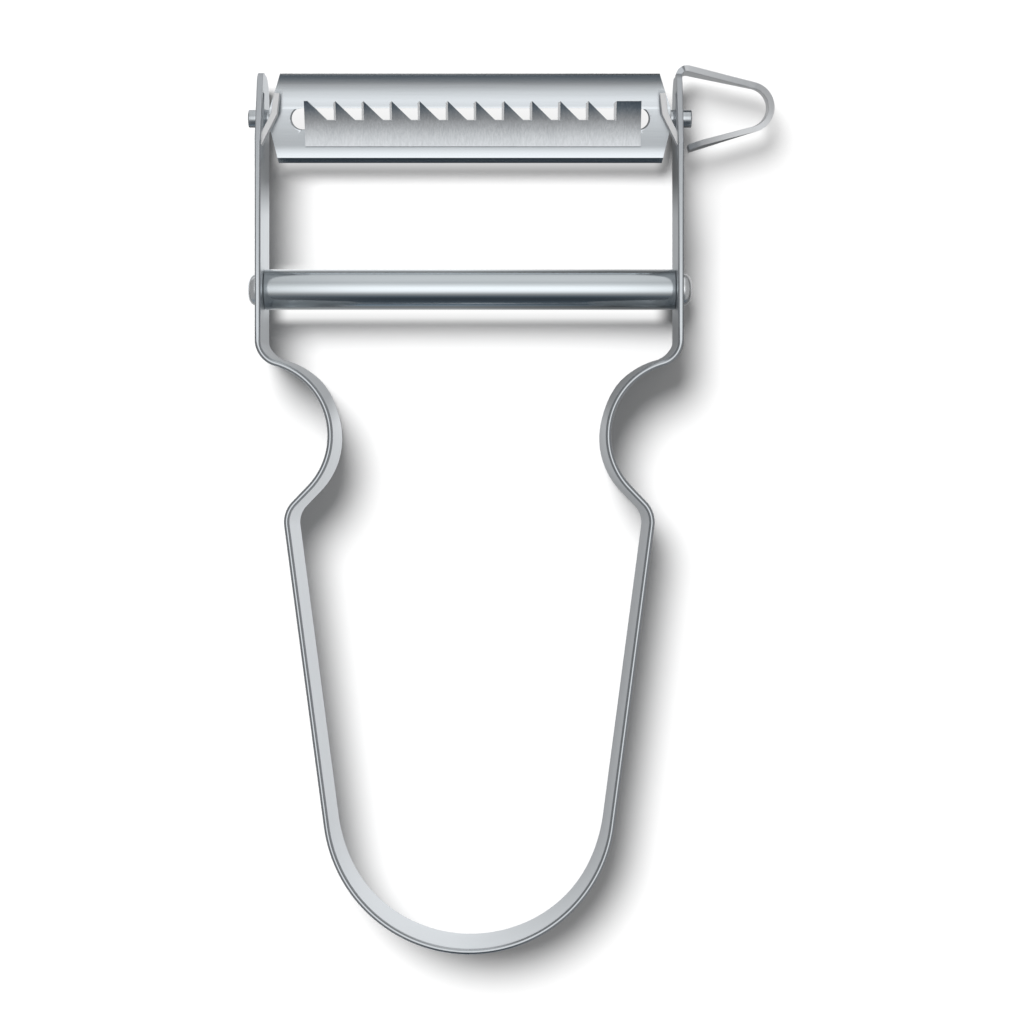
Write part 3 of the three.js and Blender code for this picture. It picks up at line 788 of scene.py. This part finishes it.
def make_blade():
    """Dished sheet with its slot, its ground lower edge and its tapered ends."""
    end = BLADE_HALF_LENGTH
    right = [
        (end - BLADE_LOW_CORNER, -BLADE_BOTTOM), (end, -BLADE_NECK),
        (end, BLADE_NECK), (end - BLADE_HIGH_CORNER, BLADE_TOP),
    ]
    left = [(-x, y) for x, y in reversed(right)]
    bm = bmesh.new()
    draw_loop(bm, [(x, y, 0) for x, y in right + left])
    slot_x = SLOT_HALF_LENGTH - SLOT_HALF_HEIGHT
    start = bm.verts.new((slot_x, -SLOT_HALF_HEIGHT, 0))
    tip = draw_arc(bm, start, (slot_x, 0, 0), Z_AXIS, math.pi, 6 * DEG)
    tip = draw_line(bm, tip, (-slot_x, SLOT_HALF_HEIGHT, 0))
    tip = draw_arc(bm, tip, (-slot_x, 0, 0), Z_AXIS, math.pi, 6 * DEG)
    bm.edges.new((tip, start))
    bmesh.ops.triangle_fill(bm, use_beauty=True, use_dissolve=False, edges=bm.edges[:], normal=Z_AXIS)
    bends = [y for y, _ in BLADE_SECTION]
    rows = []
    for y0, y1 in zip(bends, bends[1:]):
        count = ROWS_PER_BEND if y1 - y0 > SHORT_BEND else 1
        rows += [y0 + (y1 - y0) * i / ROWS_PER_BEND for i in range(count)]
    cut_rows(bm, [y * MM for y in rows[1:]])
    for vertex in bm.verts:
        vertex.co.z = blade_height(vertex.co.y)
    bmesh.ops.recalc_face_normals(bm, faces=bm.faces[:])
    bmesh.ops.solidify(bm, geom=bm.faces[:], thickness=BLADE_THICKNESS)
    lift = sum(v.co.z - blade_height(v.co.y) for v in bm.verts) / len(bm.verts)
    bmesh.ops.translate(bm, verts=bm.verts[:], vec=(0, 0, -lift))
    roll_slot_ends(bm, slot_x)
    grind_y = GRIND_REACH - BLADE_BOTTOM
    grind_z = blade_height(grind_y) + BLADE_THICKNESS / 2
    cut = bmesh.ops.bisect_plane(
        bm, geom=bm.verts[:] + bm.edges[:] + bm.faces[:], plane_co=(0, grind_y, grind_z),
        plane_no=(0, -math.sin(GRIND_ANGLE), math.cos(GRIND_ANGLE)), clear_outer=True, dist=WELD,
    )
    rim = [item for item in cut["geom_cut"] if isinstance(item, bmesh.types.BMEdge)]
    ground = bmesh.ops.contextual_create(bm, geom=rim)["faces"]
    ground_edge, shaded_sheared_side = 1, 2
    for face in ground:
        face.material_index = ground_edge
    # The upright cut sides take the steel painted dark as shade.
    for face in bm.faces:
        if abs(face.normal.z) < 0.5 and face not in ground:
            face.material_index = shaded_sheared_side
    tilt_into_place(bm)
    bmesh.ops.recalc_face_normals(bm, faces=bm.faces[:])
    piece = make_object("slotted_blade", bm, [BLADE_STEEL, BLADE_RIM, BLADE_SIDE_PAINTED_SHADE])
    round_edges(piece, BLADE_EDGE)
    bake_modifiers(piece)
    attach(piece, "swivel")
    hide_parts("blade")


def make_comb():
    """Toothed plate, curled forward, whose teeth have one upright ground edge and one slope."""
    bm = bmesh.new()
    last = COMB_FIRST + TOOTH_COUNT * TOOTH_PITCH
    tooth = COMB_TIP - COMB_ROOT
    places = [(COMB_LEFT, COMB_BOTTOM), (COMB_LEFT, COMB_TIP)]
    ground = []
    for i in range(TOOTH_COUNT):
        x = COMB_FIRST + i * TOOTH_PITCH
        places += [(x, COMB_TIP), (x + tooth, COMB_ROOT), (x + TOOTH_PITCH, COMB_ROOT)]
        ground.append(x + TOOTH_PITCH)
    places += [(last, COMB_TIP), (last + COMB_TAIL, COMB_TIP), (last + COMB_TAIL, COMB_BOTTOM)]
    draw_loop(bm, [(x, y, COMB_BACK_Z) for x, y in places])
    back_edges = bm.edges[:]
    raised = bmesh.ops.extrude_edge_only(bm, edges=back_edges)["geom"]
    front = {item for item in raised if isinstance(item, bmesh.types.BMVert)}
    front_edges = [e for e in bm.edges if all(v in front for v in e.verts)]
    bmesh.ops.translate(bm, verts=list(front), vec=(0, 0, COMB_THICKNESS))
    for vertex in set(bm.verts) - front:
        if any(abs(vertex.co.x - x) < WELD for x in ground) and vertex.co.y > COMB_ROOT - WELD:
            vertex.co.x -= TOOTH_GRIND
            vertex.co.y -= TOOTH_GRIND if vertex.co.y > COMB_TIP - WELD else 0
    for vertex in front:
        if vertex.co.y < COMB_BOTTOM + WELD:
            vertex.co.y += COMB_UNDERCUT
    bmesh.ops.triangle_fill(bm, use_beauty=True, use_dissolve=False, edges=back_edges, normal=Z_AXIS)
    bmesh.ops.triangle_fill(bm, use_beauty=True, use_dissolve=False, edges=front_edges, normal=Z_AXIS)
    cut_rows(bm, [COMB_BOTTOM + (i + 0.5) * (COMB_TIP - COMB_BOTTOM) / COMB_ROWS for i in range(COMB_ROWS)])
    for vertex in bm.verts:
        vertex.co.z += comb_height(vertex.co.y)
    bmesh.ops.recalc_face_normals(bm, faces=bm.faces[:])
    # The cut sides of the teeth take the steel painted dark as shade.
    ground_tooth, shaded_sheared_tooth = 1, 2
    for face in bm.faces:
        if abs(face.normal.z) < 0.9 and face.normal.y > -0.7:
            face.material_index = ground_tooth if face.normal.x < -0.8 else shaded_sheared_tooth
    tilt_into_place(bm)
    piece = make_object("toothed_comb", bm, [COMB_STEEL, COMB_RIM, COMB_SIDE_PAINTED_SHADE])
    round_edges(piece, COMB_EDGE)
    bake_modifiers(piece)
    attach(piece, "swivel")
    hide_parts("julienne_comb")
    piece.visible_glossy = False


# Studio


# Brightness around the peeler by the angle from straight up, in degrees, away from the handle
SKY = [
    (-180, 0.85), (-172, 0.8), (-163, 0.8), (-150, 0.7), (-122, 0.36), (-106, 0.2), (-92, 0.13), (-70, 0.06),
    (-55, 0.06), (-45, 0.13), (-34, 0.34), (-27, 0.62), (-21, 0.98), (-14, 1.34), (-4, 1.52), (6, 1.46), (16, 1.18),
    (24, 0.94), (34, 0.76), (50, 0.85), (74, 0.84), (90, 0.7), (100, 0.72), (112, 0.6), (130, 0.55), (152, 1),
    (168, 1.02), (180, 0.85),
]
SKY_TOP = max(level for _, level in SKY)
DARK_TINT = (0.8, 1, 1.2)
DARK_LEVEL = 0.21
SIDE_LEFT = 0.3
SIDE_RIGHT = 0.36
# How far aside a direction points where the room's side begins and where it is full, below and above the horizon
SIDE_BEGINS = (0.5, 0.12)
SIDE_FULL = (0.9, 0.42)
FILL_ON_FLOOR = 0.24
SHEET_HALF_SIZE = 4
SHEET_DROP = 0.05 * MM
SHEET_BOUNCED = 0.6
# Painted light and shade across the sheet as the metal sees it in reflections, from the left of the middle to the
# right
ACROSS = (-2 * MM, 18 * MM)
ACROSS_REFLECTION_SHADE = (1.2, 0.62)
# Where the painted light between the arms ends, and where the painted light beside the loop begins
PAINTED_LIGHT_BETWEEN_ARMS = (23 * MM, 25.6 * MM)
PAINTED_LIGHT_BESIDE_LOOP = (26.5 * MM, 30 * MM)
# Along the sheet, in mm from the bow's foot: the painted shade that the metal sees in it, and the share of painted
# light laid into the shadows under bar and blade and by the loop
FLOOR_START = 60
FLOOR_END = 110
# Painted shade in the reflections: darker under the waist and under the blade, where shadows would lie.
FLOOR_REFLECTION_SHADE = [
    (60, 1), (65.5, 1), (69, 0.5), (78, 0.5), (81.5, 1), (91.5, 1), (96, 0.25), (100.5, 0.25),
    (105, 0.85), (110, 0.85),
]
FLOOR_PAINTED_LIGHT = [
    (60, 0), (76.8, 0), (77.6, 0.08), (78.5, 0.8), (79.3, 1), (83.5, 1), (85.5, 0),
    (95.4, 0), (96.6, 0.1), (98.3, 0.62), (100.6, 0.86), (106.2, 0.86), (107.4, 0), (110, 0),
]
FLOOR_PAINTED_LIGHT_BY_LOOP = [(60, 0), (87, 0), (93, 0.42), (107, 0.42), (109, 0), (110, 0)]
KEY_ENERGY = 3.2
KEY_SPREAD = 32 * DEG
KEY_FROM = Vector((-0.32, 0.48, 1))
CAMERA_PLACE = (5.2326 * MM, 53.863 * MM, 274 * MM)
CAMERA_SENSOR = 36
CAMERA_LENS = 75.83


def level_ramp(nodes, stops, start, end, tint=lambda level: (1, 1, 1)):
    """Ramp of levels along a stretch from start to end."""
    ramp = nodes.new("ShaderNodeValToRGB")
    elements = ramp.color_ramp.elements
    for i, (place, level) in enumerate(stops):
        share = (place - start) / (end - start)
        stop = elements[i] if i < 2 else elements.new(share)
        stop.position = share
        stop.color = (*(level * part for part in tint(level)), 1)
    return ramp


def math_node(nodes, operation):
    """Adds one sum of shader values."""
    node = nodes.new("ShaderNodeMath")
    node.operation = operation
    return node


def map_range(nodes, from_min, from_max, to_min=0, to_max=1):
    """Adds a change from one stretch of values to another, held at its ends."""
    node = nodes.new("ShaderNodeMapRange")
    node.inputs["From Min"].default_value = from_min
    node.inputs["From Max"].default_value = from_max
    node.inputs["To Min"].default_value = to_min
    node.inputs["To Max"].default_value = to_max
    return node


def make_floor():
    """Plain white sheet under the peeler, with pools of light painted into the shadows under bar and blade and
    beside the loop. The metal sees the room through it, with painted light and shade by the place on the sheet.
    """
    bm = bmesh.new()
    bmesh.ops.create_grid(bm, x_segments=2, y_segments=2, size=SHEET_HALF_SIZE)
    bmesh.ops.translate(bm, verts=bm.verts[:], vec=(0, 0, -SHEET_DROP))
    material = bpy.data.materials.new("White sheet")
    material.use_nodes = True
    nodes, links = material.node_tree.nodes, material.node_tree.links
    nodes.clear()
    output = nodes.new("ShaderNodeOutputMaterial")
    paper = nodes.new("ShaderNodeBsdfDiffuse")
    # Emission that paints pools of light into the sheet's shadows.
    painted_light = nodes.new("ShaderNodeEmission")
    seen_through = nodes.new("ShaderNodeBsdfTransparent")
    lit = nodes.new("ShaderNodeMixShader")
    pick = nodes.new("ShaderNodeMixShader")
    path = nodes.new("ShaderNodeLightPath")
    mirrored = math_node(nodes, "MAXIMUM")
    open_way = math_node(nodes, "MAXIMUM")
    tone = nodes.new("ShaderNodeMix")
    tone.data_type = "RGBA"
    tone.inputs["A"].default_value = (SHEET_BOUNCED, SHEET_BOUNCED, SHEET_BOUNCED, 1)
    tone.inputs["B"].default_value = (1, 1, 1, 1)
    spot = nodes.new("ShaderNodeNewGeometry")
    place = nodes.new("ShaderNodeSeparateXYZ")
    along = map_range(nodes, FLOOR_START * MM, FLOOR_END * MM)
    across = map_range(nodes, *ACROSS, *ACROSS_REFLECTION_SHADE)
    outward = math_node(nodes, "ABSOLUTE")
    between = map_range(nodes, *PAINTED_LIGHT_BETWEEN_ARMS, 1, 0)
    between.interpolation_type = "SMOOTHSTEP"
    reflection_shade_ramp = level_ramp(nodes, FLOOR_REFLECTION_SHADE, FLOOR_START, FLOOR_END)
    painted_light_ramp = level_ramp(nodes, FLOOR_PAINTED_LIGHT, FLOOR_START, FLOOR_END)
    painted_light_by_loop_ramp = level_ramp(nodes, FLOOR_PAINTED_LIGHT_BY_LOOP, FLOOR_START, FLOOR_END)
    beside = map_range(nodes, *PAINTED_LIGHT_BESIDE_LOOP)
    shade, under, painted_by_loop, share = (math_node(nodes, "MULTIPLY") for _ in range(4))
    painted_light_share = math_node(nodes, "MAXIMUM")
    links.new(spot.outputs["Position"], place.inputs["Vector"])
    links.new(place.outputs["Y"], along.inputs["Value"])
    links.new(along.outputs["Result"], reflection_shade_ramp.inputs["Fac"])
    links.new(along.outputs["Result"], painted_light_ramp.inputs["Fac"])
    links.new(place.outputs["X"], across.inputs["Value"])
    links.new(place.outputs["X"], outward.inputs[0])
    links.new(outward.outputs["Value"], between.inputs["Value"])
    links.new(painted_light_ramp.outputs["Color"], under.inputs[0])
    links.new(between.outputs["Result"], under.inputs[1])
    links.new(along.outputs["Result"], painted_light_by_loop_ramp.inputs["Fac"])
    links.new(place.outputs["X"], beside.inputs["Value"])
    links.new(painted_light_by_loop_ramp.outputs["Color"], painted_by_loop.inputs[0])
    links.new(beside.outputs["Result"], painted_by_loop.inputs[1])
    # Painted light: camera rays see this emission mixed into the sheet under bar and blade, between the arms, and
    # beside the loop.
    links.new(under.outputs["Value"], painted_light_share.inputs[0])
    links.new(painted_by_loop.outputs["Value"], painted_light_share.inputs[1])
    links.new(painted_light_share.outputs["Value"], share.inputs[0])
    links.new(path.outputs["Is Camera Ray"], share.inputs[1])
    links.new(share.outputs["Value"], lit.inputs["Fac"])
    links.new(paper.outputs["BSDF"], lit.inputs[1])
    links.new(painted_light.outputs["Emission"], lit.inputs[2])
    # Painted light and shade for the metal's reflections: glossy rays pass through the sheet to the room, tinted by
    # place across and along it.
    links.new(across.outputs["Result"], shade.inputs[0])
    links.new(reflection_shade_ramp.outputs["Color"], shade.inputs[1])
    links.new(shade.outputs["Value"], seen_through.inputs["Color"])
    links.new(path.outputs["Is Camera Ray"], tone.inputs["Factor"])
    links.new(tone.outputs["Result"], paper.inputs["Color"])
    links.new(path.outputs["Is Glossy Ray"], mirrored.inputs[0])
    links.new(path.outputs["Is Transmission Ray"], mirrored.inputs[1])
    links.new(mirrored.outputs["Value"], open_way.inputs[0])
    links.new(path.outputs["Is Shadow Ray"], open_way.inputs[1])
    links.new(open_way.outputs["Value"], pick.inputs["Fac"])
    links.new(lit.outputs["Shader"], pick.inputs[1])
    links.new(seen_through.outputs["BSDF"], pick.inputs[2])
    links.new(pick.outputs["Shader"], output.inputs["Surface"])
    floor = make_object("floor", bm, [material])


def make_world():
    """Bright scrim overhead and behind the blade, dark room behind the handle, and a low fill for the sheet."""
    world = bpy.data.worlds.new("Studio")
    bpy.context.scene.world = world
    world.use_nodes = True
    nodes, links = world.node_tree.nodes, world.node_tree.links
    nodes.clear()
    output = nodes.new("ShaderNodeOutputWorld")
    sky = nodes.new("ShaderNodeBackground")
    sky.inputs["Strength"].default_value = SKY_TOP
    white = nodes.new("ShaderNodeBackground")
    white.inputs["Color"].default_value = (1, 1, 1, 1)
    pick = nodes.new("ShaderNodeMixShader")
    path = nodes.new("ShaderNodeLightPath")
    way = nodes.new("ShaderNodeTexCoord")
    parts = nodes.new("ShaderNodeSeparateXYZ")
    angle = math_node(nodes, "ARCTAN2")
    share = map_range(nodes, -math.pi, math.pi)
    stops = [(degrees, level / SKY_TOP) for degrees, level in SKY]
    dark = DARK_LEVEL / SKY_TOP
    ramp = level_ramp(nodes, stops, -180, 180, lambda level: DARK_TINT if level < dark else (1, 1, 1))
    aside = map_range(nodes, -1, 1, SIDE_LEFT / SKY_TOP, SIDE_RIGHT / SKY_TOP)
    outward = math_node(nodes, "ABSOLUTE")
    above = math_node(nodes, "GREATER_THAN")
    above.inputs[1].default_value = 0
    side_begins = map_range(nodes, 0, 1, *SIDE_BEGINS)
    side_full = map_range(nodes, 0, 1, *SIDE_FULL)
    edge = map_range(nodes, 0, 1)
    edge.interpolation_type = "SMOOTHSTEP"
    tone = nodes.new("ShaderNodeMix")
    tone.data_type = "RGBA"
    fill = nodes.new("ShaderNodeMix")
    fill.data_type = "RGBA"
    fill.inputs["B"].default_value = (*[FILL_ON_FLOOR / SKY_TOP] * 3, 1)
    links.new(way.outputs["Generated"], parts.inputs["Vector"])
    links.new(parts.outputs["Y"], angle.inputs[0])
    links.new(parts.outputs["Z"], angle.inputs[1])
    links.new(angle.outputs["Value"], share.inputs["Value"])
    links.new(share.outputs["Result"], ramp.inputs["Fac"])
    links.new(parts.outputs["X"], aside.inputs["Value"])
    links.new(parts.outputs["X"], outward.inputs[0])
    links.new(parts.outputs["Z"], above.inputs[0])
    links.new(above.outputs["Value"], side_begins.inputs["Value"])
    links.new(above.outputs["Value"], side_full.inputs["Value"])
    links.new(outward.outputs["Value"], edge.inputs["Value"])
    links.new(side_begins.outputs["Result"], edge.inputs["From Min"])
    links.new(side_full.outputs["Result"], edge.inputs["From Max"])
    links.new(edge.outputs["Result"], tone.inputs["Factor"])
    links.new(ramp.outputs["Color"], tone.inputs["A"])
    links.new(aside.outputs["Result"], tone.inputs["B"])
    links.new(path.outputs["Diffuse Depth"], fill.inputs["Factor"])
    links.new(tone.outputs["Result"], fill.inputs["A"])
    links.new(fill.outputs["Result"], sky.inputs["Color"])
    links.new(path.outputs["Is Camera Ray"], pick.inputs["Fac"])
    links.new(sky.outputs["Background"], pick.inputs[1])
    links.new(white.outputs["Background"], pick.inputs[2])
    links.new(pick.outputs["Shader"], output.inputs["Surface"])


def make_lights():
    """One wide, soft lamp that lays the shadow on the sheet."""
    key = bpy.data.lights.new("Floor key", "SUN")
    key.energy = KEY_ENERGY
    key.angle = KEY_SPREAD
    lamp = bpy.data.objects.new("Floor key", key)
    bpy.context.collection.objects.link(lamp)
    lamp.rotation_euler = KEY_FROM.to_track_quat("Z", "Y").to_euler()
    lamp.visible_glossy = False


def make_camera():
    """Camera straight above the peeler."""
    data = bpy.data.cameras.new("Camera")
    data.sensor_width = CAMERA_SENSOR
    data.lens = CAMERA_LENS
    data.clip_start = 0.01
    data.clip_end = 20
    camera = bpy.data.objects.new("Camera", data)
    bpy.context.collection.objects.link(camera)
    camera.location = CAMERA_PLACE
    bpy.context.scene.camera = camera


make_camera()
make_bow()
make_crossbar_tube()
make_crossbar_rivet()
make_pivot_pin("pin_left", -1)
make_pivot_pin("pin_right", 1)
make_blade()
make_comb()
make_floor()
make_world()
make_lights()
bpy.context.scene.view_settings.view_transform = "Standard"
